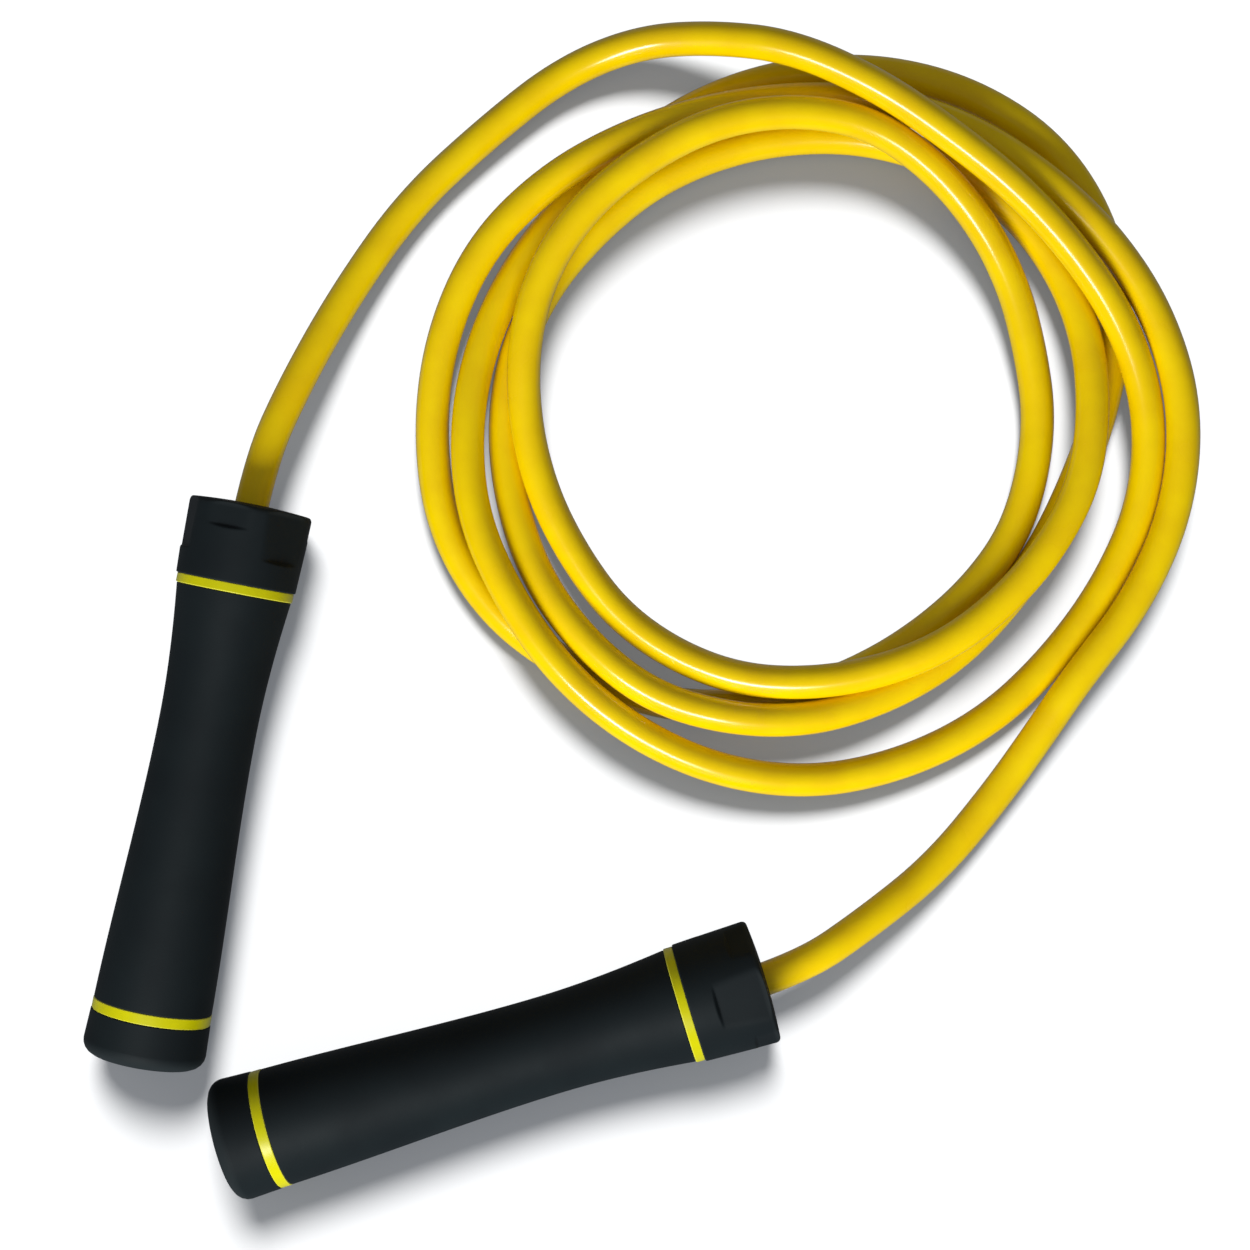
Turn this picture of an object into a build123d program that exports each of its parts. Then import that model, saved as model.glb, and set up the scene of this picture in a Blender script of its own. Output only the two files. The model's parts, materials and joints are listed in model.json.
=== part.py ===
from build123d import *
import math
import os

# A heavy skipping rope with two ball-bearing handles, lying on the floor with its rope coiled.
# Millimetres, +Z up, floor at Z = 0. The origin is on the floor under the middle of the two handles,
# and +X is the way the rope leaves the right handle. Each handle is modelled in its own frame first:
# its axis is X, X = 0 is the front of its head, and its body lies on the -X side.

os.makedirs("parts", exist_ok=True)

# Rope
ROPE_D = 10.0
RUN_SHARE = 0.45  # share of the shorter run that each arc of the rope takes

# Head cap, screwed over the front of the grip
HANDLE_L = 167.0
HEAD_L = 23.8
HEAD_FRONT_D = 37.2
HEAD_REAR_D = 35.4
HEAD_DOME = 1.0
HEAD_EDGE_R = 1.6
HEAD_WALL = 3.0
ROPE_HOLE_GAP = 1.2  # room round the rope in the head cap's front wall
LONG_FLAT = {"length": 16.5, "depth": 1.7}
SHORT_FLAT = {"length": 8.6, "depth": 1.15}
FLAT_RAMP = 0.8  # length of the steep ramp at each flat's rear end
FLAT_PAIRS = 3
EDGE_BREAK = 0.4  # small chamfer on the edges beside a ring

# Rings that mark the two seams
RING_HEAD_D = 34.5
RING_HEAD_W = 2.8
RING_END_D = 35.0
RING_END_W = 3.2

# Grip, a waisted hollow tube
GRIP_FRONT_D = 33.8
GRIP_WAIST_D = 28.8
GRIP_REAR_D = 34.8
GRIP_WAIST_X = -66.0
GRIP_FRONT_SLOPE = 0.115
GRIP_REAR_SLOPE = 0.02
GRIP_REAR_BORE_D = 27.0
SPIGOT_D = 29.6  # outside of the neck that the head cap screws onto
SOCKET_D = 28.0  # inside of the rear end, where the end cap plugs in
SOCKET_L = 9.5

# End cap, plugged into the rear of the grip
CAP_L = 13.2
CAP_FRONT_D = 35.3
CAP_MAX_D = 36.1
CAP_CORNER_R = 4.0
CAP_WALL = 3.0
PLUG_WALL = 2.0
PLUG_END_GAP = 0.5

# Ball bearing, 15 x 24 x 5, its balls and cage in proportion to the gap between bore and outside
BEARING_BORE_D = 15.0
BEARING_D = 24.0
BEARING_W = 5.0
BEARING_REAR_X = -10.0
PITCH_D = (BEARING_BORE_D + BEARING_D) / 2
BALL_D = 0.53 * (BEARING_D - BEARING_BORE_D) / 2
BALL_COUNT = 13
RACE_LIP = 0.23 * BALL_D  # depth of each ball groove below the race's shoulder
CAGE_T = 0.34 * BALL_D
CAGE_W = 1.26 * BALL_D
SHIELD_T = 0.3
SHIELD_STEP = 0.55  # depth of the step that each shield is pressed into
SHIELD_BITE = 0.18  # how far a shield reaches into the outer race

# Rope sleeve and what holds the rope in it
SLEEVE_FRONT_X = -3.4
FLANGE_T = 1.6
GROOVE_DEPTH = 0.6
CLIP_T = 0.8
CLIP_GAP = 3.0
WASHER_D = 15.2
WASHER_BORE_D = 4.6
WASHER_T = 1.2
SCREW_D = 3.8
SCREW_L = 9.8
SCREW_TIP = 3.0
SCREW_HEAD_D = 7.8
SCREW_HEAD_H = 2.6
SCREW_HEAD_BEVEL = 1.0
SCREW_SLOT_W = 1.0
SCREW_SLOT_DEPTH = 1.3

# Clearances
FIT = 0.1  # between a threaded or plugged pair, radially
SEAT = 0.02  # between a bearing and its seat, radially
RUN = 0.06  # between a ball and its groove or pocket
SHIELD_GAP = 0.25  # between a shield and the inner race, radially
SEAT_LEDGE = 1.0  # how far the shoulders on both sides of the outer race reach over it

# Stations along a handle's axis
ROPE_END_X = BEARING_REAR_X - FLANGE_T  # where the rope stops inside the handle
HEAD_REAR_X = -HEAD_L
GRIP_FRONT_X = HEAD_REAR_X - RING_HEAD_W
BUTT_X = -HANDLE_L
CAP_FRONT_X = BUTT_X + CAP_L
GRIP_REAR_X = CAP_FRONT_X + RING_END_W
BEARING_FRONT_X = BEARING_REAR_X + BEARING_W
BEARING_MID_X = BEARING_REAR_X + BEARING_W / 2

# Diameters that follow from the bearing and the rope
ROPE_HOLE_D = ROPE_D + 2 * ROPE_HOLE_GAP
GRIP_BORE_D = BEARING_D - 2 * SEAT_LEDGE
OUTER_SHOULDER_D = PITCH_D + BALL_D + 2 * RUN - 2 * RACE_LIP
INNER_SHOULDER_D = PITCH_D - BALL_D - 2 * RUN + 2 * RACE_LIP
SHIELD_D = OUTER_SHOULDER_D + 2 * SHIELD_BITE
SLEEVE_FLANGE_D = INNER_SHOULDER_D - 2 * EDGE_BREAK
CLIP_GROOVE_D = BEARING_BORE_D - 2 * GROOVE_DEPTH

# Where the handles lie: front of the head, heading of the head, and roll about the axis
AXIS_Z = HEAD_FRONT_D / 2
HANDLES = {
    "right": {"head": (99.0, -84.0), "heading": 0.0, "roll": 4.0, "straight": 10.0},
    "left": {"head": (-6.0, 94.0), "heading": 62.2, "roll": 50.0, "straight": 12.0},
}

# The rope between each handle and the coil, chosen by hand, from the handle outwards
ROUTES = {
    "right": [(133, -77, 14), (158, -68, 7), (182, -52, 6), (200, -37.5, 8)],
    "left": [
        (16, 124.5, 14.5),
        (38, 147, 8),
        (64, 168, 5),
        (93, 182, 5),
        (119, 192, 6),
        (143, 193.5, 10),
        (164, 187, 17),
    ],
}

# The coil's turns, anticlockwise from where the right handle's rope joins it: the radius and the
# height of the rope's middle at 24 clock positions a turn, half a turn to a line
COIL_CENTRE = (157, 72)
COIL_START = -60
CLOCKS = 24
TURN_RADII = [
    113, 114, 115, 114, 110, 105, 101, 99, 97, 95, 95, 98,
    103, 108, 110, 111, 112, 109, 102, 96, 89, 82, 77, 74,
    73, 73, 72, 72, 72, 75, 79, 84, 89, 90, 90, 89,
    89, 88, 85, 82, 80, 79, 80, 80, 80, 79, 79, 80,
    81, 83, 86, 87, 89, 90, 90, 89, 87, 85, 84, 84,
    84, 86, 88, 89, 90, 92, 93, 94, 92, 90, 87, 85,
    83, 83, 85, 91, 100, 108, 112, 111, 108, 104, 100, 96,
    95, 96, 98, 100, 102, 102, 104, 106, 108, 109, 108, 107,
    105, 105, 106, 104, 99, 94, 92, 93, 99, 108,
]
TURN_HEIGHTS = [
    11, 12, 14, 15, 15, 15, 14, 13, 13, 13, 15, 15,
    14, 12, 9, 7, 6, 5, 5, 5, 5, 5, 5, 5,
    5, 5, 5, 5, 7, 9, 12, 15, 19, 22, 23, 22,
    21, 18, 16, 13, 12, 11, 10, 11, 13, 15, 16, 17,
    17, 17, 16, 14, 11, 8, 6, 5, 5, 5, 5, 5,
    5, 5, 5, 6, 8, 11, 14, 15, 15, 13, 10, 7,
    6, 5, 5, 5, 5, 5, 5, 5, 5, 5, 5, 5,
    5, 7, 8, 11, 13, 15, 15, 14, 11, 8, 6, 5,
    5, 6, 9, 12, 16, 19, 21, 22, 23, 24,
]
COIL_LOW = 20.0  # height of the coil's top on its low side, towards -Y
COIL_HIGH = 28.0  # height of the coil's top on its high side, towards +Y


def turned(points):
    """A solid of revolution about the handle's axis from (x, radius) points."""
    return revolve(make_face(Polyline(*points, close=True)), Axis.X)


def tube(front_x, rear_x, outer_d, inner_d):
    """A plain ring or sleeve between two stations of the handle's axis."""
    return turned(
        [
            (front_x, inner_d / 2),
            (front_x, outer_d / 2),
            (rear_x, outer_d / 2),
            (rear_x, inner_d / 2),
        ]
    )


def grip_body():
    """The grip: a spline from its front shoulder through its waist, over a bored core."""
    front_r = GRIP_FRONT_D / 2
    rear_r = GRIP_REAR_D / 2
    bore_r = GRIP_BORE_D / 2
    spigot_r = SPIGOT_D / 2
    plug_seat_x = GRIP_REAR_X + SOCKET_L
    skin = Spline(
        (GRIP_FRONT_X - EDGE_BREAK, front_r),
        (GRIP_WAIST_X, GRIP_WAIST_D / 2),
        (GRIP_REAR_X + EDGE_BREAK, rear_r),
        tangents=[(-1, -GRIP_FRONT_SLOPE), (-1, 0), (-1, GRIP_REAR_SLOPE)],
    )
    rear = Polyline(
        (GRIP_REAR_X + EDGE_BREAK, rear_r),
        (GRIP_REAR_X, rear_r - EDGE_BREAK),
        (GRIP_REAR_X, SOCKET_D / 2),
        (plug_seat_x, SOCKET_D / 2),
        (plug_seat_x, GRIP_REAR_BORE_D / 2),
        (GRIP_WAIST_X, bore_r),
        (BEARING_REAR_X, bore_r),
        (BEARING_REAR_X, spigot_r),
        (GRIP_FRONT_X, spigot_r),
        (GRIP_FRONT_X, front_r - EDGE_BREAK),
        (GRIP_FRONT_X - EDGE_BREAK, front_r),
    )
    return revolve(make_face([skin, *rear.edges()]), Axis.X)


def head_cap():
    """The head cap: a domed cup with a rope hole, a bearing seat and six finger flats."""
    front_r = HEAD_FRONT_D / 2
    rear_r = HEAD_REAR_D / 2
    hole_r = ROPE_HOLE_D / 2
    seat_r = BEARING_D / 2 + SEAT
    spigot_r = SPIGOT_D / 2 + FIT
    recess_r = BEARING_D / 2 - SEAT_LEDGE
    dome_x = -HEAD_DOME * (hole_r / front_r) ** 2
    dome_mid_r = (hole_r + front_r) / 2
    dome = ThreePointArc(
        (dome_x, hole_r),
        (-HEAD_DOME * (dome_mid_r / front_r) ** 2, dome_mid_r),
        (-HEAD_DOME, front_r),
    )
    rest = Polyline(
        (-HEAD_DOME, front_r),
        (HEAD_REAR_X + EDGE_BREAK, rear_r),
        (HEAD_REAR_X, rear_r - EDGE_BREAK),
        (HEAD_REAR_X, spigot_r),
        (BEARING_REAR_X, spigot_r),
        (BEARING_REAR_X, seat_r),
        (BEARING_FRONT_X, seat_r),
        (BEARING_FRONT_X, recess_r),
        (-HEAD_WALL, recess_r),
        (-HEAD_WALL, hole_r),
        (dome_x, hole_r),
    )
    profile = make_face([dome, *rest.edges()])
    rim = profile.vertices().sort_by_distance((-HEAD_DOME, front_r))[0]
    cap = revolve(fillet(rim, HEAD_EDGE_R), Axis.X)
    for number in range(2 * FLAT_PAIRS):
        flat = SHORT_FLAT if number % 2 else LONG_FLAT
        cap -= Rot(number * 180 / FLAT_PAIRS, 0, 0) * flat_cutter(**flat)
    return cap


def flat_cutter(length, depth):
    """What one finger flat takes away, with a steep ramp at its rear end."""
    floor_z = HEAD_FRONT_D / 2 - depth
    reach = HEAD_FRONT_D / 2
    rise = reach * depth / FLAT_RAMP
    side = Plane.XZ * Polyline(
        (reach, floor_z),
        (FLAT_RAMP - length, floor_z),
        (FLAT_RAMP - length - reach, floor_z + rise),
        (reach, floor_z + rise),
        close=True,
    )
    return extrude(make_face(side), amount=reach, both=True)


def end_cap():
    """The end cap: a hollow plug with a slightly flared, rounded butt and a flat end face."""
    plug_r = SOCKET_D / 2 - FIT
    cavity_r = plug_r - PLUG_WALL
    plug_x = GRIP_REAR_X + SOCKET_L - PLUG_END_GAP
    profile = make_face(
        Polyline(
            (plug_x, cavity_r),
            (plug_x, plug_r),
            (CAP_FRONT_X, plug_r),
            (CAP_FRONT_X, CAP_FRONT_D / 2 - EDGE_BREAK),
            (CAP_FRONT_X - EDGE_BREAK, CAP_FRONT_D / 2),
            (BUTT_X + CAP_CORNER_R + EDGE_BREAK, CAP_MAX_D / 2),
            (BUTT_X, CAP_MAX_D / 2),
            (BUTT_X, 0),
            (BUTT_X + CAP_WALL, 0),
            (BUTT_X + CAP_WALL, cavity_r),
            close=True,
        )
    )
    corner = profile.vertices().sort_by_distance((BUTT_X, CAP_MAX_D / 2))[0]
    return revolve(fillet(corner, CAP_CORNER_R), Axis.X)


def ball_groove():
    """The round channel that the balls need in both races, a running clearance larger than they are."""
    section = Pos(BEARING_MID_X, PITCH_D / 2) * Circle(BALL_D / 2 + RUN)
    return revolve(section, Axis.X)


def outer_race():
    """The bearing's outer race, stepped at both ends for its shields."""
    race = tube(BEARING_FRONT_X, BEARING_REAR_X, BEARING_D, OUTER_SHOULDER_D)
    step_d = SHIELD_D + 2 * SEAT
    race -= tube(BEARING_FRONT_X, BEARING_FRONT_X - SHIELD_STEP, step_d, PITCH_D)
    race -= tube(BEARING_REAR_X + SHIELD_STEP, BEARING_REAR_X, step_d, PITCH_D)
    return race - ball_groove()


def inner_race():
    """The bearing's inner race, which the sleeve carries."""
    race = tube(BEARING_FRONT_X, BEARING_REAR_X, INNER_SHOULDER_D, BEARING_BORE_D)
    return race - ball_groove()


def bearing_shields():
    """Two thin washers pressed into the outer race, clear of the inner one."""
    inner_d = INNER_SHOULDER_D + 2 * SHIELD_GAP
    front_x = BEARING_FRONT_X - SHIELD_STEP + SHIELD_T
    rear_x = BEARING_REAR_X + SHIELD_STEP - SHIELD_T
    front = tube(front_x, front_x - SHIELD_T, SHIELD_D, inner_d)
    rear = tube(rear_x + SHIELD_T, rear_x, SHIELD_D, inner_d)
    return Compound([front, rear])


def ball_places():
    """Where the balls sit, evenly round the pitch circle."""
    return [
        Rot(number * 360 / BALL_COUNT, 0, 0) * Pos(BEARING_MID_X, 0, PITCH_D / 2)
        for number in range(BALL_COUNT)
    ]


def bearing_balls():
    return Compound([place * Sphere(BALL_D / 2) for place in ball_places()])


def bearing_cage():
    """The cage that keeps the balls apart: a ring with a round pocket for each."""
    front_x = BEARING_MID_X + CAGE_W / 2
    cage = tube(front_x, front_x - CAGE_W, PITCH_D + CAGE_T, PITCH_D - CAGE_T)
    for place in ball_places():
        cage -= place * Sphere(BALL_D / 2 + RUN)
    return cage


def rope_sleeve():
    """The flanged sleeve that the rope passes through, grooved for its clip."""
    bore_r = ROPE_D / 2 + FIT
    body_r = BEARING_BORE_D / 2 - SEAT
    flange_r = SLEEVE_FLANGE_D / 2
    clip_x = BEARING_FRONT_X + FIT
    return turned(
        [
            (SLEEVE_FRONT_X, bore_r),
            (SLEEVE_FRONT_X, body_r),
            (clip_x + CLIP_T, body_r),
            (clip_x + CLIP_T, CLIP_GROOVE_D / 2),
            (clip_x, CLIP_GROOVE_D / 2),
            (clip_x, body_r),
            (BEARING_REAR_X, body_r),
            (BEARING_REAR_X, flange_r),
            (ROPE_END_X, flange_r),
            (ROPE_END_X, bore_r),
        ]
    )


def sleeve_clip():
    """The open spring ring that holds the sleeve in the inner race."""
    rear_x = BEARING_FRONT_X + FIT
    clip = tube(rear_x + CLIP_T, rear_x, SLEEVE_FLANGE_D, CLIP_GROOVE_D + 2 * SEAT)
    return clip - Pos(rear_x, 0, SLEEVE_FLANGE_D / 2) * Box(3 * CLIP_T, CLIP_GAP, SLEEVE_FLANGE_D)


def stop_washer():
    return tube(ROPE_END_X, ROPE_END_X - WASHER_T, WASHER_D, WASHER_BORE_D)


def stop_screw():
    """The self-tapping screw that is driven into the rope's end, its thread left plain."""
    under_head_x = ROPE_END_X - WASHER_T
    tip_x = under_head_x + SCREW_L
    head_x = under_head_x - SCREW_HEAD_H
    screw = turned(
        [
            (tip_x, 0),
            (tip_x - SCREW_TIP, SCREW_D / 2),
            (under_head_x, SCREW_D / 2),
            (under_head_x, SCREW_HEAD_D / 2),
            (head_x + SCREW_HEAD_BEVEL, SCREW_HEAD_D / 2),
            (head_x, SCREW_HEAD_D / 2 - SCREW_HEAD_BEVEL),
            (head_x, 0),
        ]
    )
    for turn in (0, 90):
        slot = Box(2 * SCREW_SLOT_DEPTH, SCREW_HEAD_D / 2, SCREW_SLOT_W)
        screw -= Rot(turn, 0, 0) * Pos(head_x, 0, 0) * slot
    return screw


def handle_pieces():
    """Every piece of one handle, in the handle's own frame."""
    return {
        "grip_body": grip_body(),
        "head_cap": head_cap(),
        "head_ring": tube(HEAD_REAR_X, GRIP_FRONT_X, RING_HEAD_D, SPIGOT_D + 2 * FIT),
        "end_ring": tube(GRIP_REAR_X, CAP_FRONT_X, RING_END_D, SOCKET_D),
        "end_cap": end_cap(),
        "bearing_outer_race": outer_race(),
        "bearing_inner_race": inner_race(),
        "bearing_shields": bearing_shields(),
        "bearing_balls": bearing_balls(),
        "bearing_cage": bearing_cage(),
        "rope_sleeve": rope_sleeve(),
        "sleeve_clip": sleeve_clip(),
        "stop_washer": stop_washer(),
        "stop_screw": stop_screw(),
    }


def handle_place(handle):
    """The location that carries a handle's own frame to where the handle lies."""
    return Location((*handle["head"], AXIS_Z), (0, 0, handle["heading"])) * Rot(handle["roll"], 0, 0)


def corner_radii(points):
    """The radius of the arc at each inner corner of a route, as large as its two runs allow."""
    radii = []
    for before, corner, after in zip(points, points[1:], points[2:]):
        half_turn = math.radians((corner - before).get_angle(after - corner)) / 2
        shorter = min((corner - before).length, (after - corner).length)
        radii.append(RUN_SHARE * shorter / math.tan(half_turn))
    return radii


def rope_tube(name, points):
    """A stretch of rope: straight runs joined by tangent arcs."""
    points = [Vector(*point) for point in points]
    radii = corner_radii(points)
    path = FilletPolyline(*points, radius=radii)
    section = Plane(origin=path @ 0, z_dir=path % 0) * Circle(ROPE_D / 2)
    solid = sweep(section, path=path)
    expected = math.pi * (ROPE_D / 2) ** 2 * path.length
    print(name, "radii", [round(radius) for radius in radii], "length", round(path.length))
    print(name, "volume", round(solid.volume), "section times length", round(expected))
    return solid


def coil_points():
    """The middle of the rope at each clock position of the coil, in order along the rope."""
    points = []
    for number, (radius, height) in enumerate(zip(TURN_RADII, TURN_HEIGHTS)):
        angle = math.radians(COIL_START + number * 360 / CLOCKS)
        x = COIL_CENTRE[0] + radius * math.cos(angle)
        y = COIL_CENTRE[1] + radius * math.sin(angle)
        points.append((x, y, height))
    return points


def coil_outline(pick, margin):
    """A closed outline at the coil's outer (max) or inner (min) edge, as arcs between short runs."""
    corners = []
    for clock in range(CLOCKS):
        radius = pick(TURN_RADII[clock::CLOCKS]) + margin
        angle = math.radians(COIL_START + clock * 360 / CLOCKS)
        corners.append(Vector(radius * math.cos(angle), radius * math.sin(angle)))
    ring = [corners[-1], *corners, corners[0]]
    outline = FilletPolyline(*corners, radius=corner_radii(ring), close=True)
    return Pos(*COIL_CENTRE) * make_face(outline)


def coil():
    """The coil as one closed ring of its outer shape, its top sloping up to where the rope leaves it."""
    band = coil_outline(max, ROPE_D / 2) - coil_outline(min, -ROPE_D / 2)
    ring = extrude(band, amount=COIL_HIGH)
    reach = max(TURN_RADII) + ROPE_D / 2
    slope = math.atan2(COIL_HIGH - COIL_LOW, 2 * reach)
    middle = (*COIL_CENTRE, (COIL_HIGH + COIL_LOW) / 2)
    top = Plane(origin=middle, z_dir=(0, -math.sin(slope), math.cos(slope)))
    return split(ring, bisect_by=top, keep=Keep.BOTTOM)


def rope_ends(handle):
    """The rope's inner end and the point to which it runs straight out of its handle."""
    heading = math.radians(handle["heading"])
    x, y = handle["head"]
    return [
        (x + reach * math.cos(heading), y + reach * math.sin(heading), AXIS_Z)
        for reach in (ROPE_END_X, handle["straight"])
    ]


for side, handle in HANDLES.items():
    place = handle_place(handle)
    for name, piece in handle_pieces().items():
        export_step(place * piece, f"parts/{side}_{name}.step")

turns = coil_points()
joins = {"right": turns[0], "left": turns[-1]}
for side, handle in HANDLES.items():
    route = [*rope_ends(handle), *ROUTES[side], joins[side]]
    export_step(rope_tube(f"{side}_rope", route), f"parts/{side}_rope.step")
export_step(coil(), "parts/rope_coil.step")
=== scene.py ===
import json
import math

import bmesh
import bpy
from mathutils import Matrix, Vector


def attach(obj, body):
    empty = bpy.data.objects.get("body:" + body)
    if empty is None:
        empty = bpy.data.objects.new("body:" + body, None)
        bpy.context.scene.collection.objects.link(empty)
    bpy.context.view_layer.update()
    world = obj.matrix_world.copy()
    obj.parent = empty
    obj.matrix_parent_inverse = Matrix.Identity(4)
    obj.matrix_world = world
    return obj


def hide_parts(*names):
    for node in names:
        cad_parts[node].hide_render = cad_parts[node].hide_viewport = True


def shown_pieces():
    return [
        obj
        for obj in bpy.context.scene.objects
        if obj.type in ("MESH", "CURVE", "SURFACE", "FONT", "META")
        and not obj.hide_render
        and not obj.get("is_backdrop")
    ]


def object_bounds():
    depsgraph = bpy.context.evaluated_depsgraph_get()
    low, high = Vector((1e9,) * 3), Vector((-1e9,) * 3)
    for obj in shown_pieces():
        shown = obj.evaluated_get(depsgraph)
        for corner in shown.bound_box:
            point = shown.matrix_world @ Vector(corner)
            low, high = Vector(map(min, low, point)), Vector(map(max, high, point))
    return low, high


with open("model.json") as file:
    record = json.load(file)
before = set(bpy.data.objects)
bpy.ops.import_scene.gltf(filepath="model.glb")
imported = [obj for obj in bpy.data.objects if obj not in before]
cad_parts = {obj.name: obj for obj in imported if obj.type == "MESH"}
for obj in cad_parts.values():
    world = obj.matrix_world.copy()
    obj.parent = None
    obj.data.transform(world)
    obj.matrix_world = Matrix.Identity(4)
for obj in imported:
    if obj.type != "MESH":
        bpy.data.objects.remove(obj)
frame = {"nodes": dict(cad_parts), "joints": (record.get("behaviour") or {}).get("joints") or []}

cad_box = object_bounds()
scene = bpy.context.scene


# ---------------------------------------------------------------- camera
# The camera hangs over the rope and looks straight down, its top edge turned a little from the
# row frame's +Y towards +X. Its view takes in both handles and the whole coil.
CAMERA_PLACE = Vector((0.0892, 0.0281, 0.770))
CAMERA_TURN = math.radians(-16.7)
CAMERA_LENS = 73.4

camera_data = bpy.data.cameras.new("camera")
camera_data.lens = CAMERA_LENS
camera_data.clip_start = 0.01
camera_data.clip_end = 20
camera = bpy.data.objects.new("camera", camera_data)
camera.location = CAMERA_PLACE
camera.rotation_euler = (0, 0, CAMERA_TURN)
scene.collection.objects.link(camera)
scene.camera = camera


# ---------------------------------------------------------------- rope
# One length of solid PVC cord, extruded smooth and glossy. Each end runs through the hole in a
# handle's head and stops inside it; between them the cord lies on the floor in loose turns.
MM = 0.001
ROPE_D = 10
ROPE_INSIDE = 11.6
ROPE_STRAIGHT = {"right": 10, "left": 12}
ROPE_ROUNDNESS = 10
ROPE_SMOOTHNESS = 10

ROUTES = {
    "right": [(133, -77, 14), (158, -68, 7), (182, -52, 6), (200, -37.5, 8)],
    "left": [
        (16, 124.5, 14.5),
        (38, 147, 8),
        (64, 168, 5),
        (93, 182, 5),
        (119, 192, 6),
        (143, 193.5, 10),
        (164, 187, 17),
    ],
}

COIL_CENTRE = (157, 72)
COIL_START = -60
CLOCKS = 24
TURN_RADII = [
    113, 114, 115, 114, 110, 105, 101, 99, 97, 95, 95, 98,
    103, 108, 110, 111, 112, 109, 102, 96, 89, 82, 77, 74,
    73, 73, 72, 72, 72, 75, 79, 84, 89, 90, 90, 89,
    89, 88, 85, 82, 80, 79, 80, 80, 80, 79, 79, 80,
    81, 83, 86, 87, 89, 90, 90, 89, 87, 85, 84, 84,
    84, 86, 88, 89, 90, 92, 93, 94, 92, 90, 87, 85,
    83, 83, 85, 91, 100, 108, 112, 111, 108, 104, 100, 96,
    95, 96, 98, 100, 102, 102, 104, 106, 108, 109, 108, 107,
    105, 105, 106, 104, 99, 94, 92, 93, 99, 108,
]
TURN_HEIGHTS = [
    11, 12, 14, 15, 15, 15, 14, 13, 13, 13, 15, 15,
    14, 12, 9, 7, 6, 5, 5, 5, 5, 5, 5, 5,
    5, 5, 5, 5, 7, 9, 12, 15, 19, 22, 23, 22,
    21, 18, 16, 13, 12, 11, 10, 11, 13, 15, 16, 17,
    17, 17, 16, 14, 11, 8, 6, 5, 5, 5, 5, 5,
    5, 5, 5, 6, 8, 11, 14, 15, 15, 13, 10, 7,
    6, 5, 5, 5, 5, 5, 5, 5, 5, 5, 5, 5,
    5, 7, 8, 11, 13, 15, 15, 14, 11, 8, 6, 5,
    5, 6, 9, 12, 16, 19, 21, 22, 23, 24,
]

handle_joints = {
    side: next(joint for joint in frame["joints"] if joint["name"] == f"{side}_handle_spin")
    for side in ("right", "left")
}


def shader_group(name, inputs, outputs):
    """A shader node group with named sockets, and its input and output nodes."""
    group = bpy.data.node_groups.new(name, "ShaderNodeTree")
    for label, kind, value in inputs:
        socket = group.interface.new_socket(label, in_out="INPUT", socket_type=kind)
        socket.default_value = value
    for label, kind in outputs:
        group.interface.new_socket(label, in_out="OUTPUT", socket_type=kind)
    return group, group.nodes.new("NodeGroupInput"), group.nodes.new("NodeGroupOutput")


def plastic_mottle():
    """Cloudy colour of pigmented plastic, and a roughness that goes with its duller patches."""
    group, given, made = shader_group(
        "plastic_mottle",
        [
            ("Colour", "NodeSocketColor", (0.5, 0.5, 0.5, 1)),
            ("Shade", "NodeSocketColor", (0.4, 0.4, 0.4, 1)),
            ("Scale", "NodeSocketFloat", 60.0),
            ("Smooth", "NodeSocketFloat", 0.2),
            ("Dull", "NodeSocketFloat", 0.3),
        ],
        [("Colour", "NodeSocketColor"), ("Roughness", "NodeSocketFloat")],
    )
    nodes, links = group.nodes, group.links
    place = nodes.new("ShaderNodeTexCoord")
    clouds = nodes.new("ShaderNodeTexNoise")
    clouds.inputs["Detail"].default_value = 4.0
    patches = nodes.new("ShaderNodeMapRange")
    patches.inputs["From Min"].default_value = 0.35
    patches.inputs["From Max"].default_value = 0.65
    tint = nodes.new("ShaderNodeMix")
    tint.data_type = "RGBA"
    sheen = nodes.new("ShaderNodeMapRange")
    links.new(place.outputs["Object"], clouds.inputs["Vector"])
    links.new(given.outputs["Scale"], clouds.inputs["Scale"])
    links.new(clouds.outputs["Fac"], patches.inputs["Value"])
    links.new(patches.outputs["Result"], tint.inputs["Factor"])
    links.new(given.outputs["Colour"], tint.inputs["A"])
    links.new(given.outputs["Shade"], tint.inputs["B"])
    links.new(clouds.outputs["Fac"], sheen.inputs["Value"])
    links.new(given.outputs["Smooth"], sheen.inputs["To Min"])
    links.new(given.outputs["Dull"], sheen.inputs["To Max"])
    links.new(tint.outputs["Result"], made.inputs["Colour"])
    links.new(sheen.outputs["Result"], made.inputs["Roughness"])
    return group


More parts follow.
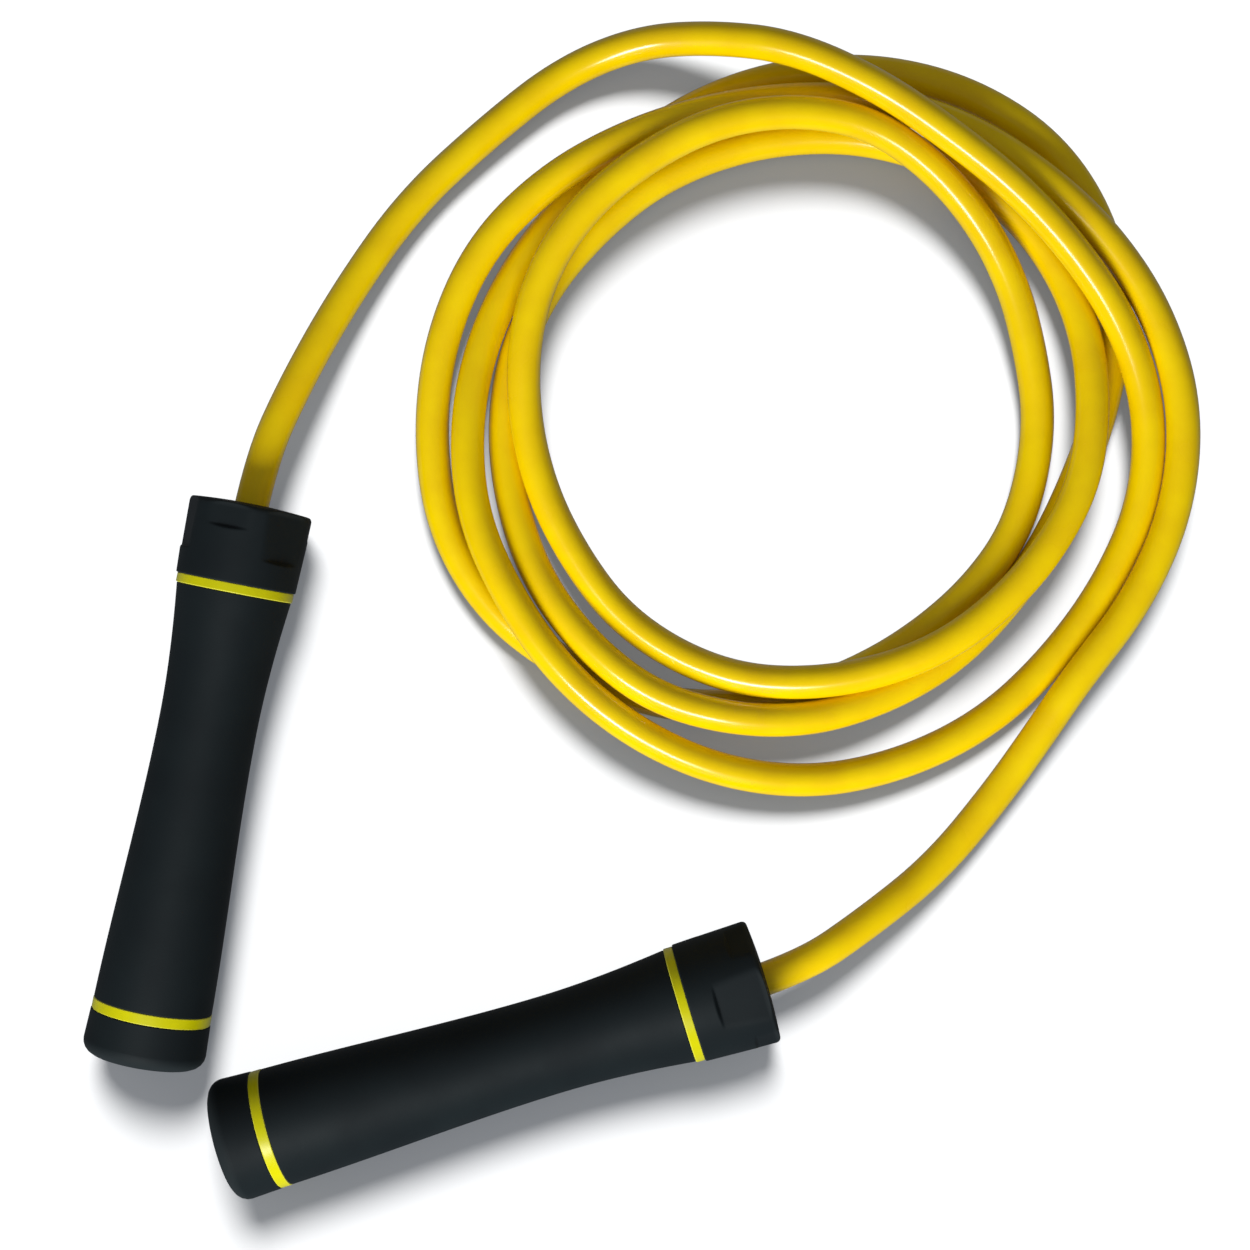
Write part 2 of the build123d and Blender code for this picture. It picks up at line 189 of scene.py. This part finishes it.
def surface_waver():
    """The height of a surface's slow waviness, with fine grain on top of it."""
    group, given, made = shader_group(
        "surface_waver",
        [
            ("Wave Scale", "NodeSocketFloat", 100.0),
            ("Grain Scale", "NodeSocketFloat", 2000.0),
            ("Grain Share", "NodeSocketFloat", 0.5),
        ],
        [("Height", "NodeSocketFloat")],
    )
    nodes, links = group.nodes, group.links
    place = nodes.new("ShaderNodeTexCoord")
    waves = nodes.new("ShaderNodeTexNoise")
    waves.inputs["Detail"].default_value = 1.0
    grain = nodes.new("ShaderNodeTexNoise")
    grain.inputs["Detail"].default_value = 2.0
    both = nodes.new("ShaderNodeMix")
    links.new(place.outputs["Object"], waves.inputs["Vector"])
    links.new(place.outputs["Object"], grain.inputs["Vector"])
    links.new(given.outputs["Wave Scale"], waves.inputs["Scale"])
    links.new(given.outputs["Grain Scale"], grain.inputs["Scale"])
    links.new(given.outputs["Grain Share"], both.inputs["Factor"])
    links.new(waves.outputs["Fac"], both.inputs["A"])
    links.new(grain.outputs["Fac"], both.inputs["B"])
    links.new(both.outputs["Result"], made.inputs["Height"])
    return group


MOTTLE = plastic_mottle()
WAVER = surface_waver()


def new_material(name, **settings):
    """A material whose Principled shader has these sockets set."""
    material = bpy.data.materials.new(name)
    material.use_nodes = True
    shader = material.node_tree.nodes["Principled BSDF"]
    for label, value in settings.items():
        shader.inputs[label.replace("_", " ")].default_value = value
    return material, shader


def placed(material, group, **settings):
    """A group's node in a material, with these inputs set."""
    node = material.node_tree.nodes.new("ShaderNodeGroup")
    node.node_tree = group
    for label, value in settings.items():
        node.inputs[label.replace("_", " ")].default_value = value
    return node


def bumped(material, shader, height, depth, strength):
    """Feeds a height to the shader's normal through a Bump node; depth is in metres."""
    bump = material.node_tree.nodes.new("ShaderNodeBump")
    bump.inputs["Distance"].default_value = depth
    bump.inputs["Strength"].default_value = strength
    material.node_tree.links.new(height, bump.inputs["Height"])
    material.node_tree.links.new(bump.outputs["Normal"], shader.inputs["Normal"])


def rope_pvc():
    """Glossy yellow PVC: a little cloudy, with duller patches and a faint waver in the gloss."""
    material, shader = new_material(
        "rope_pvc", Specular_IOR_Level=0.15, Coat_IOR=1.5, Coat_Roughness=0.17
    )
    links = material.node_tree.links
    mottle = placed(
        material,
        MOTTLE,
        Colour=(0.90, 0.64, 0.0, 1),
        Shade=(0.85, 0.57, 0.0, 1),
        Scale=70.0,
        Smooth=0.16,
        Dull=0.34,
    )
    # The clear skin is thicker in some patches than in others, which breaks up its streaks.
    skin = placed(material, MOTTLE, Scale=28.0, Smooth=-0.35, Dull=1.6)
    waver = placed(material, WAVER, Wave_Scale=90.0, Grain_Scale=900.0, Grain_Share=0.12)
    links.new(mottle.outputs["Colour"], shader.inputs["Base Color"])
    links.new(mottle.outputs["Roughness"], shader.inputs["Roughness"])
    links.new(skin.outputs["Roughness"], shader.inputs["Coat Weight"])
    bumped(material, shader, waver.outputs["Height"], depth=0.0006, strength=0.35)
    return material


def coil_points():
    """The middle of the cord at each clock position of the coil, in millimetres."""
    points = []
    for number, (radius, height) in enumerate(zip(TURN_RADII, TURN_HEIGHTS)):
        angle = math.radians(COIL_START + number * 360 / CLOCKS)
        x = COIL_CENTRE[0] + radius * math.cos(angle)
        y = COIL_CENTRE[1] + radius * math.sin(angle)
        points.append((x, y, height))
    return points


def head_end(side):
    """The cord's end inside a handle, and the point to which it runs straight out of it."""
    joint = handle_joints[side]
    front = Vector(joint["pos_m"])
    heading = Vector(joint["axis"])
    return [
        front - heading * ROPE_INSIDE * MM,
        front + heading * ROPE_STRAIGHT[side] * MM,
    ]


def rope_route():
    """Every control point of the cord, from the right handle to the left one, in metres."""
    laid = [*ROUTES["right"], *coil_points(), *reversed(ROUTES["left"])]
    return [
        *head_end("right"),
        *(Vector(point) * MM for point in laid),
        *reversed(head_end("left")),
    ]


rope_data = bpy.data.curves.new("jump_rope", "CURVE")
rope_data.dimensions = "3D"
rope_data.bevel_depth = ROPE_D * MM / 2
rope_data.bevel_resolution = ROPE_ROUNDNESS
rope_data.resolution_u = ROPE_SMOOTHNESS
rope_data.use_fill_caps = True
rope_spline = rope_data.splines.new("NURBS")
route = rope_route()
rope_spline.points.add(len(route) - 1)
for control, point in zip(rope_spline.points, route):
    control.co = (*point, 1)
rope_spline.order_u = 3
rope_spline.use_endpoint_u = True
rope_spline.use_smooth = True
rope = bpy.data.objects.new("jump_rope", rope_data)
scene.collection.objects.link(rope)
rope_data.materials.append(rope_pvc())
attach(rope, "rope")
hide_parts("rope_coil", "right_rope", "left_rope")


# ---------------------------------------------------------------- handle grips
# Each grip is one moulding in black satin plastic, hollow and waisted for the hand. Its front
# neck takes the head, and its rear mouth takes the end cap.
ROLLS = {"right": 4, "left": 50}
HANDLE_L = 167
HEAD_L = 23.8
HEAD_BAND_W = 2.8
END_BAND_W = 3.2
BUTT_L = 13.2
MOUTH_DEPTH = 9.5
NECK_FRONT_X = -10
WAIST_X = -66
GRIP_FRONT_X = -HEAD_L - HEAD_BAND_W
GRIP_REAR_X = BUTT_L + END_BAND_W - HANDLE_L
MOUTH_FLOOR_X = GRIP_REAR_X + MOUTH_DEPTH
GRIP_FRONT_R = 16.95
WAIST_R = 14.4
GRIP_REAR_R = 17.4
GRIP_FRONT_SLOPE = -0.115
GRIP_REAR_SLOPE = 0.02
NECK_R = 14.8
MOUTH_R = 14
BORE_R = 11
REAR_BORE_R = 13.5
EDGE_R = 0.4
SMALL_EDGE_R = 0.2
ROUND_STEPS = 5
FINE_SIDES = 192
SKIN_FRONT_STEPS = 12
SKIN_REAR_STEPS = 24


def handle_place(side):
    """The matrix that carries a handle's own frame, in millimetres, to where the handle lies."""
    joint = handle_joints[side]
    heading = Vector(joint["axis"])
    turn = Matrix.Rotation(math.atan2(heading.y, heading.x), 4, "Z")
    roll = Matrix.Rotation(math.radians(ROLLS[side]), 4, "X")
    return Matrix.Translation(Vector(joint["pos_m"])) @ turn @ roll @ Matrix.Scale(MM, 4)


def rounded(corners):
    """A closed outline of (x, radius, wear_and_sheen) from (x, radius, rounding) corners.

    Each rounded corner becomes an arc. The mask rises to 1 halfway round the arcs that stick out,
    and is 0 elsewhere. On the handles it marks wear where hands and floors rub the surface; on the
    rings it places a painted sheen on the rims.
    """
    spots = [Vector(corner[:2]) for corner in corners]
    area = sum(a.x * b.y - b.x * a.y for a, b in zip(spots, spots[1:] + spots[:1]))
    outline = []
    for number, spot in enumerate(spots):
        rounding = corners[number][2]
        back = (spots[number - 1] - spot).normalized()
        on = (spots[(number + 1) % len(spots)] - spot).normalized()
        if not rounding:
            outline.append((spot.x, spot.y, 0.0))
            continue
        half = back.angle(on) / 2
        middle = spot + (back + on).normalized() * rounding / math.sin(half)
        start = spot + back * rounding / math.tan(half) - middle
        end = spot + on * rounding / math.tan(half) - middle
        sticks_out = (on.x * back.y - on.y * back.x) * area > 0
        for step in range(ROUND_STEPS + 1):
            share = step / ROUND_STEPS
            arm = start.slerp(end, share).normalized() * rounding
            # On the handles this mask marks wear; on the rings it places a painted sheen on the
            # rims.
            wear_and_sheen = math.sin(math.pi * share) if sticks_out else 0.0
            outline.append((middle.x + arm.x, middle.y + arm.y, wear_and_sheen))
    return outline


def turned(name, outline, side, material, sides=FINE_SIDES, carve=None):
    """A piece turned about its handle's axis from an outline, and placed in the row frame.

    carve, where it is given, takes x, radius and angle and gives the radius there.
    """
    mesh_maker = bmesh.new()
    wear_and_sheen_layer = mesh_maker.verts.layers.float.new("wear_and_sheen")
    rings = []
    for x, radius, wear_and_sheen in outline:
        ring = []
        for number in range(sides if radius else 1):
            angle = number * math.tau / sides
            reach = carve(x, radius, angle) if carve else radius
            point = mesh_maker.verts.new((x, reach * math.cos(angle), reach * math.sin(angle)))
            point[wear_and_sheen_layer] = wear_and_sheen
            ring.append(point)
        rings.append(ring)
    for first, second in zip(rings, rings[1:] + rings[:1]):
        for number in range(sides):
            ahead = (number + 1) % sides
            quad = [
                first[number % len(first)],
                first[ahead % len(first)],
                second[ahead % len(second)],
                second[number % len(second)],
            ]
            corners = list(dict.fromkeys(quad))
            if len(corners) > 2:
                mesh_maker.faces.new(corners)
    bmesh.ops.recalc_face_normals(mesh_maker, faces=mesh_maker.faces)
    mesh = bpy.data.meshes.new(name)
    mesh_maker.to_mesh(mesh)
    mesh_maker.free()
    mesh.transform(handle_place(side))
    mesh.shade_smooth()
    mesh.materials.append(material)
    piece = bpy.data.objects.new(name, mesh)
    scene.collection.objects.link(piece)
    even = piece.modifiers.new("even_shading", "WEIGHTED_NORMAL")
    even.weight = 100
    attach(piece, f"{side}_handle")
    return piece


def handle_black():
    """Black satin plastic with a spark-eroded grain, a little paler where its edges are rubbed."""
    material, shader = new_material("handle_black", Specular_IOR_Level=0.12)
    nodes, links = material.node_tree.nodes, material.node_tree.links
    mottle = placed(
        material,
        MOTTLE,
        Colour=(0.009, 0.0135, 0.0155, 1),
        Shade=(0.0075, 0.011, 0.013, 1),
        Scale=45.0,
        Smooth=0.52,
        Dull=0.70,
    )
    waver = placed(material, WAVER, Wave_Scale=140.0, Grain_Scale=3000.0, Grain_Share=0.8)
    wear_and_sheen = nodes.new("ShaderNodeAttribute")
    wear_and_sheen.attribute_name = "wear_and_sheen"
    worn = nodes.new("ShaderNodeMix")
    worn.data_type = "RGBA"
    worn.inputs["B"].default_value = (0.015, 0.020, 0.022, 1)
    links.new(wear_and_sheen.outputs["Fac"], worn.inputs["Factor"])
    links.new(mottle.outputs["Colour"], worn.inputs["A"])
    links.new(worn.outputs["Result"], shader.inputs["Base Color"])
    links.new(mottle.outputs["Roughness"], shader.inputs["Roughness"])
    bumped(material, shader, waver.outputs["Height"], depth=0.0001, strength=0.35)
    return material


def eased(share, start, end, start_slope, end_slope):
    """A cubic from start to end whose slopes at its two ends are given."""
    square, cube = share ** 2, share ** 3
    return (
        start * (2 * cube - 3 * square + 1)
        + start_slope * (cube - 2 * square + share)
        + end * (3 * square - 2 * cube)
        + end_slope * (cube - square)
    )


def grip_skin():
    """The grip's outside between its two ends, down to its waist and out again."""
    skin = []
    front_run, rear_run = GRIP_FRONT_X - WAIST_X, WAIST_X - GRIP_REAR_X
    for step in range(1, SKIN_FRONT_STEPS):
        share = step / SKIN_FRONT_STEPS
        radius = eased(share, GRIP_FRONT_R, WAIST_R, GRIP_FRONT_SLOPE * front_run, 0)
        skin.append((GRIP_FRONT_X - share * front_run, radius, 0))
    for step in range(SKIN_REAR_STEPS):
        share = step / SKIN_REAR_STEPS
        radius = eased(share, WAIST_R, GRIP_REAR_R, 0, GRIP_REAR_SLOPE * rear_run)
        skin.append((WAIST_X - share * rear_run, radius, 0))
    return skin


BLACK = handle_black()
grip_outline = rounded(
    [
        (NECK_FRONT_X, BORE_R, SMALL_EDGE_R),
        (NECK_FRONT_X, NECK_R, EDGE_R),
        (GRIP_FRONT_X, NECK_R, 0),
        (GRIP_FRONT_X, GRIP_FRONT_R, EDGE_R),
        *grip_skin(),
        (GRIP_REAR_X, GRIP_REAR_R, EDGE_R),
        (GRIP_REAR_X, MOUTH_R, EDGE_R),
        (MOUTH_FLOOR_X, MOUTH_R, 0),
        (MOUTH_FLOOR_X, REAR_BORE_R, 0),
        (WAIST_X, BORE_R, 0),
    ]
)
for side in handle_joints:
    grip = turned(f"{side}_grip", grip_outline, side, BLACK)
    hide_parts(f"{side}_grip_body")


# ---------------------------------------------------------------- heads
# The head is a domed black cup that screws over the grip's neck and holds the bearing. Three long
# and three short flats are moulded into its side for the fingers, each with a ramp at its rear.
HEAD_REAR_X = -HEAD_L
HEAD_FRONT_R = 18.6
HEAD_REAR_R = 17.7
HEAD_DOME = 1
HEAD_EDGE_R = 1.6
HEAD_WALL = 3
HOLE_R = 6.2
SEAT_R = 12.02
SEAT_FRONT_X = -5
LEDGE_R = 11
SOCKET_R = 14.9
FLAT_LENGTHS = (16.5, 8.6)
FLAT_DEPTHS = (1.7, 1.15)
FLAT_RAMP = 0.8
FLAT_COUNT = 6
FLAT_BLEND = 0.5
HEAD_STEP = 0.35
HEAD_SIDES = 300
DOME_STEPS = 6


def soft_smaller(first, second, blend):
    """The smaller of two numbers, eased from one to the other where they are nearly equal."""
    near = max(blend - abs(first - second), 0) / blend
    return min(first, second) - near ** 2 * blend / 4


def carved_flats(x, radius, angle):
    """The head's radius where its flats are cut into it."""
    if radius < SOCKET_R:
        return radius
    sector = math.tau / FLAT_COUNT
    from_top = angle - math.pi / 2
    number = round(from_top / sector)
    across = math.cos(from_top - number * sector)
    up_ramp = max(FLAT_RAMP - FLAT_LENGTHS[number % 2] - x, 0) / FLAT_RAMP
    level = HEAD_FRONT_R + (up_ramp - 1) * FLAT_DEPTHS[number % 2]
    return soft_smaller(radius, level / across, FLAT_BLEND)


def spread_runs(outline, step):
    """The outline with points added so that none of its runs is longer than step."""
    fuller = []
    for first, second in zip(outline, outline[1:] + outline[:1]):
        pieces = math.ceil(math.dist(first[:2], second[:2]) / step)
        for number in range(max(pieces, 1)):
            share = number / max(pieces, 1)
            fuller.append(tuple(a + (b - a) * share for a, b in zip(first, second)))
    return fuller


dome = []
for step in range(1, DOME_STEPS):
    radius = HOLE_R + (HEAD_FRONT_R - HOLE_R) * step / DOME_STEPS
    dome.append((-HEAD_DOME * (radius / HEAD_FRONT_R) ** 2, radius, 0))
hole_x = -HEAD_DOME * (HOLE_R / HEAD_FRONT_R) ** 2
head_outline = rounded(
    [
        (hole_x, HOLE_R, EDGE_R),
        *dome,
        (-HEAD_DOME, HEAD_FRONT_R, HEAD_EDGE_R),
        (HEAD_REAR_X, HEAD_REAR_R, EDGE_R),
        (HEAD_REAR_X, SOCKET_R, EDGE_R),
        (NECK_FRONT_X, SOCKET_R, 0),
        (NECK_FRONT_X, SEAT_R, 0),
        (SEAT_FRONT_X, SEAT_R, 0),
        (SEAT_FRONT_X, LEDGE_R, 0),
        (-HEAD_WALL, LEDGE_R, 0),
        (-HEAD_WALL, HOLE_R, EDGE_R),
    ]
)
head_outline = spread_runs(head_outline, HEAD_STEP)
for side in handle_joints:
    head = turned(f"{side}_head", head_outline, side, BLACK, HEAD_SIDES, carved_flats)
    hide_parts(f"{side}_head_cap")


# ---------------------------------------------------------------- coloured rings
# A thin lemon-yellow plastic ring is trapped in each seam of the handle: one behind the head and
# one in front of the end cap. Their rims are rounded, so a dark line shows on both sides.
CAP_FRONT_X = BUTT_L - HANDLE_L
HEAD_BAND_R = 17.25
END_BAND_R = 17.5
BAND_ROUNDING = 0.3
BANDS = {
    "head_band": ("head_ring", HEAD_REAR_X, GRIP_FRONT_X, HEAD_BAND_R, SOCKET_R),
    "end_band": ("end_ring", GRIP_REAR_X, CAP_FRONT_X, END_BAND_R, MOUTH_R),
}


def ring_yellow():
    """Lemon-yellow moulded plastic, smooth, with a painted sheen that makes its rims paler."""
    material, shader = new_material("ring_yellow", Specular_IOR_Level=0.3)
    nodes, links = material.node_tree.nodes, material.node_tree.links
    mottle = placed(
        material,
        MOTTLE,
        Colour=(0.61, 0.58, 0.0, 1),
        Shade=(0.54, 0.52, 0.0, 1),
        Scale=120.0,
        Smooth=0.24,
        Dull=0.38,
    )
    waver = placed(material, WAVER, Wave_Scale=300.0, Grain_Scale=2500.0, Grain_Share=0.4)
    wear_and_sheen = nodes.new("ShaderNodeAttribute")
    wear_and_sheen.attribute_name = "wear_and_sheen"
    # Painted sheen: the rounded rims get a paler yellow where the mask rises.
    painted_rim_sheen = nodes.new("ShaderNodeMix")
    painted_rim_sheen.data_type = "RGBA"
    painted_rim_sheen.inputs["B"].default_value = (0.68, 0.66, 0.06, 1)
    links.new(wear_and_sheen.outputs["Fac"], painted_rim_sheen.inputs["Factor"])
    links.new(mottle.outputs["Colour"], painted_rim_sheen.inputs["A"])
    links.new(painted_rim_sheen.outputs["Result"], shader.inputs["Base Color"])
    links.new(mottle.outputs["Roughness"], shader.inputs["Roughness"])
    bumped(material, shader, waver.outputs["Height"], depth=0.0001, strength=0.3)
    return material


LEMON = ring_yellow()
for name, (node, front_x, rear_x, outer_r, inner_r) in BANDS.items():
    outline = rounded(
        [
            (front_x, inner_r, 0),
            (front_x, outer_r, BAND_ROUNDING),
            (rear_x, outer_r, BAND_ROUNDING),
            (rear_x, inner_r, 0),
        ]
    )
    for side in handle_joints:
        band = turned(f"{side}_{name}", outline, side, LEMON)
        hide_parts(f"{side}_{node}")


# ---------------------------------------------------------------- end caps
# A hollow black plug closes the rear of each grip. Its butt flares a little, with a well-rounded
# rim and a flat end face that the handle can stand on.
PLUG_END_GAP = 0.5
PLUG_FRONT_X = MOUTH_FLOOR_X - PLUG_END_GAP
BUTT_X = -HANDLE_L
PLUG_R = 13.9
PLUG_BORE_R = 11.9
CAP_FRONT_R = 17.65
CAP_MAX_R = 18.05
CAP_WALL = 3
BUTT_ROUNDING = 4

cap_outline = rounded(
    [
        (PLUG_FRONT_X, PLUG_BORE_R, SMALL_EDGE_R),
        (PLUG_FRONT_X, PLUG_R, EDGE_R),
        (CAP_FRONT_X, PLUG_R, 0),
        (CAP_FRONT_X, CAP_FRONT_R, EDGE_R),
        (BUTT_X + BUTT_ROUNDING + EDGE_R, CAP_MAX_R, 0),
        (BUTT_X, CAP_MAX_R, BUTT_ROUNDING),
        (BUTT_X, 0, 0),
        (BUTT_X + CAP_WALL, 0, 0),
        (BUTT_X + CAP_WALL, PLUG_BORE_R, EDGE_R),
    ]
)
for side in handle_joints:
    cap = turned(f"{side}_butt", cap_outline, side, BLACK)
    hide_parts(f"{side}_end_cap")


# ---------------------------------------------------------------- bearings and rope fixings
# Inside each head a sealed ball bearing carries the handle round an aluminium sleeve. The cord
# passes through the sleeve and is kept there by a washer and a screw driven into its end.
METALS = {
    "bearing_steel": ("bearing_outer_race", "bearing_inner_race", "bearing_balls"),
    "pressed_steel": (
        "bearing_shields",
        "bearing_cage",
        "sleeve_clip",
        "stop_washer",
        "stop_screw",
    ),
    "sleeve_aluminium": ("rope_sleeve",),
}
METAL_LOOKS = {
    "bearing_steel": {"tint": (0.56, 0.57, 0.58, 1), "rough": 0.18, "lines": 9000.0},
    "pressed_steel": {"tint": (0.50, 0.50, 0.49, 1), "rough": 0.34, "lines": 2500.0},
    "sleeve_aluminium": {"tint": (0.78, 0.78, 0.77, 1), "rough": 0.28, "lines": 5000.0},
}
METAL_SHADE = 0.86


def tool_marks():
    """Fine lines left by turning about an axis, as a height and as a roughness."""
    group, given, made = shader_group(
        "tool_marks",
        [
            ("Front", "NodeSocketVector", (0, 0, 0)),
            ("Axis", "NodeSocketVector", (1, 0, 0)),
            ("Lines", "NodeSocketFloat", 5000.0),
            ("Rough", "NodeSocketFloat", 0.2),
        ],
        [("Height", "NodeSocketFloat"), ("Roughness", "NodeSocketFloat")],
    )
    nodes, links = group.nodes, group.links
    place = nodes.new("ShaderNodeTexCoord")
    arm = nodes.new("ShaderNodeVectorMath")
    arm.operation = "SUBTRACT"
    along = nodes.new("ShaderNodeVectorMath")
    along.operation = "DOT_PRODUCT"
    beside = nodes.new("ShaderNodeVectorMath")
    beside.operation = "CROSS_PRODUCT"
    distance = nodes.new("ShaderNodeVectorMath")
    distance.operation = "LENGTH"
    both = nodes.new("ShaderNodeMath")
    lines = nodes.new("ShaderNodeTexNoise")
    lines.noise_dimensions = "1D"
    worn = nodes.new("ShaderNodeMath")
    worn.operation = "MULTIPLY_ADD"
    worn.inputs[1].default_value = 0.12
    links.new(place.outputs["Object"], arm.inputs[0])
    links.new(given.outputs["Front"], arm.inputs[1])
    links.new(arm.outputs["Vector"], along.inputs[0])
    links.new(given.outputs["Axis"], along.inputs[1])
    links.new(arm.outputs["Vector"], beside.inputs[0])
    links.new(given.outputs["Axis"], beside.inputs[1])
    links.new(beside.outputs["Vector"], distance.inputs[0])
    links.new(along.outputs["Value"], both.inputs[0])
    links.new(distance.outputs["Value"], both.inputs[1])
    links.new(both.outputs["Value"], lines.inputs["W"])
    links.new(given.outputs["Lines"], lines.inputs["Scale"])
    links.new(lines.outputs["Fac"], worn.inputs[0])
    links.new(given.outputs["Rough"], worn.inputs[2])
    links.new(lines.outputs["Fac"], made.inputs["Height"])
    links.new(worn.outputs["Value"], made.inputs["Roughness"])
    return group


MARKS = tool_marks()


def metal(name, side, tint, rough, lines):
    """Bare turned or pressed metal, with its tool marks round the handle's axis."""
    material, shader = new_material(f"{side}_{name}", Metallic=1.0)
    joint = handle_joints[side]
    marks = placed(
        material, MARKS, Front=joint["pos_m"], Axis=joint["axis"], Lines=lines, Rough=rough
    )
    shade = [METAL_SHADE * part for part in tint]
    mottle = placed(material, MOTTLE, Colour=tint, Shade=shade, Scale=400.0)
    links = material.node_tree.links
    links.new(mottle.outputs["Colour"], shader.inputs["Base Color"])
    links.new(marks.outputs["Roughness"], shader.inputs["Roughness"])
    bumped(material, shader, marks.outputs["Height"], depth=0.00003, strength=0.3)
    return material


for name, metal_nodes in METALS.items():
    for side in handle_joints:
        finish = metal(name, side, **METAL_LOOKS[name])
        for node in metal_nodes:
            for material_slot in frame["nodes"][f"{side}_{node}"].material_slots:
                material_slot.material = finish


# ---------------------------------------------------------------- floor and light
# A plain white studio floor. The rope is lit softly from one side, with a small strip that draws
# thin streaks along the cord, and the floor has a light of its own from the other side.
FLOOR_HALF = 3
VIEW_DOWN = Matrix.Rotation(CAMERA_TURN, 3, "Z") @ Vector((0, -1, 0))
VIEW_RIGHT = Matrix.Rotation(CAMERA_TURN, 3, "Z") @ Vector((1, 0, 0))
STAGE_CENTRE = Vector((CAMERA_PLACE.x, CAMERA_PLACE.y, 0))


def floor_white():
    """White seamless floor; it throws back less light than it shows, as a dark room's does. It
    also glows faintly blue, a painted light that lifts its shadows.
    """
    material, shader = new_material(
        "floor_white",
        Roughness=0.9,
        Specular_IOR_Level=0.0,
        # Painted light: this faint bluish glow lightens the shadows on the floor.
        Emission_Color=(0.78, 0.87, 1.0, 1),
        Emission_Strength=0.125,
    )
    nodes, links = material.node_tree.nodes, material.node_tree.links
    ray = nodes.new("ShaderNodeLightPath")
    tone = nodes.new("ShaderNodeMix")
    tone.data_type = "RGBA"
    tone.inputs["A"].default_value = (0.03, 0.03, 0.03, 1)
    tone.inputs["B"].default_value = (0.30, 0.30, 0.30, 1)
    links.new(ray.outputs["Is Camera Ray"], tone.inputs["Factor"])
    links.new(tone.outputs["Result"], shader.inputs["Base Color"])
    return material


floor_mesh = bpy.data.meshes.new("floor")
floor_z = cad_box[0].z
floor_mesh.from_pydata(
    [
        (-FLOOR_HALF, -FLOOR_HALF, floor_z),
        (FLOOR_HALF, -FLOOR_HALF, floor_z),
        (FLOOR_HALF, FLOOR_HALF, floor_z),
        (-FLOOR_HALF, FLOOR_HALF, floor_z),
    ],
    [],
    [(0, 1, 2, 3)],
)
floor_mesh.materials.append(floor_white())
floor = bpy.data.objects.new("floor", floor_mesh)
scene.collection.objects.link(floor)
floor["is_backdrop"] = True

lit_floor = bpy.data.collections.new("lit_floor")
lit_floor.objects.link(floor)
lit_rope = bpy.data.collections.new("lit_rope")
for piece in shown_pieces():
    lit_rope.objects.link(piece)


def add_light(name, kind, aside, down, height, energy, receivers):
    """A light aimed at the middle of the stage, that far aside, down and up from it in metres."""
    data = bpy.data.lights.new(name, kind)
    data.energy = energy
    lamp = bpy.data.objects.new(name, data)
    arm = VIEW_RIGHT * aside + VIEW_DOWN * down + Vector((0, 0, height))
    lamp.location = STAGE_CENTRE + arm
    lamp.rotation_euler = arm.to_track_quat("Z", "Y").to_euler()
    lamp.light_linking.receiver_collection = receivers
    scene.collection.objects.link(lamp)
    return lamp


floor_sun = add_light(
    "floor_sun", "SUN", aside=0.0, down=-0.70, height=1.0, energy=10.4, receivers=lit_floor
)
floor_sun.data.angle = math.radians(19)
floor_fill = add_light(
    "floor_fill", "SUN", aside=0.0, down=0.0, height=1.0, energy=1.0, receivers=lit_floor
)
floor_fill.data.angle = math.radians(160)

softbox = add_light(
    "softbox", "AREA", aside=-0.35, down=1.1, height=0.85, energy=27, receivers=lit_rope
)
softbox.data.shape = "RECTANGLE"
softbox.data.size = 1.0
softbox.data.size_y = 0.7
softbox.visible_glossy = False

strip = add_light(
    "strip", "AREA", aside=-0.26, down=0.72, height=1.0, energy=12, receivers=lit_rope
)
strip.data.shape = "RECTANGLE"
strip.data.size = 0.6
strip.data.size_y = 0.2
strip.visible_diffuse = False

world = bpy.data.worlds.new("studio")
world.use_nodes = True
scene.world = world
world_nodes, world_links = world.node_tree.nodes, world.node_tree.links
seen_by = world_nodes.new("ShaderNodeLightPath")
in_gloss = world_nodes.new("ShaderNodeMix")
in_gloss.data_type = "RGBA"
in_gloss.inputs["A"].default_value = (0.26, 0.26, 0.265, 1)
in_gloss.inputs["B"].default_value = (0.04, 0.04, 0.04, 1)
in_view = world_nodes.new("ShaderNodeMix")
in_view.data_type = "RGBA"
in_view.inputs["B"].default_value = (1, 1, 1, 1)
world_links.new(seen_by.outputs["Is Glossy Ray"], in_gloss.inputs["Factor"])
world_links.new(seen_by.outputs["Is Camera Ray"], in_view.inputs["Factor"])
world_links.new(in_gloss.outputs["Result"], in_view.inputs["A"])
world_links.new(in_view.outputs["Result"], world_nodes["Background"].inputs["Color"])
scene.view_settings.view_transform = "Standard"
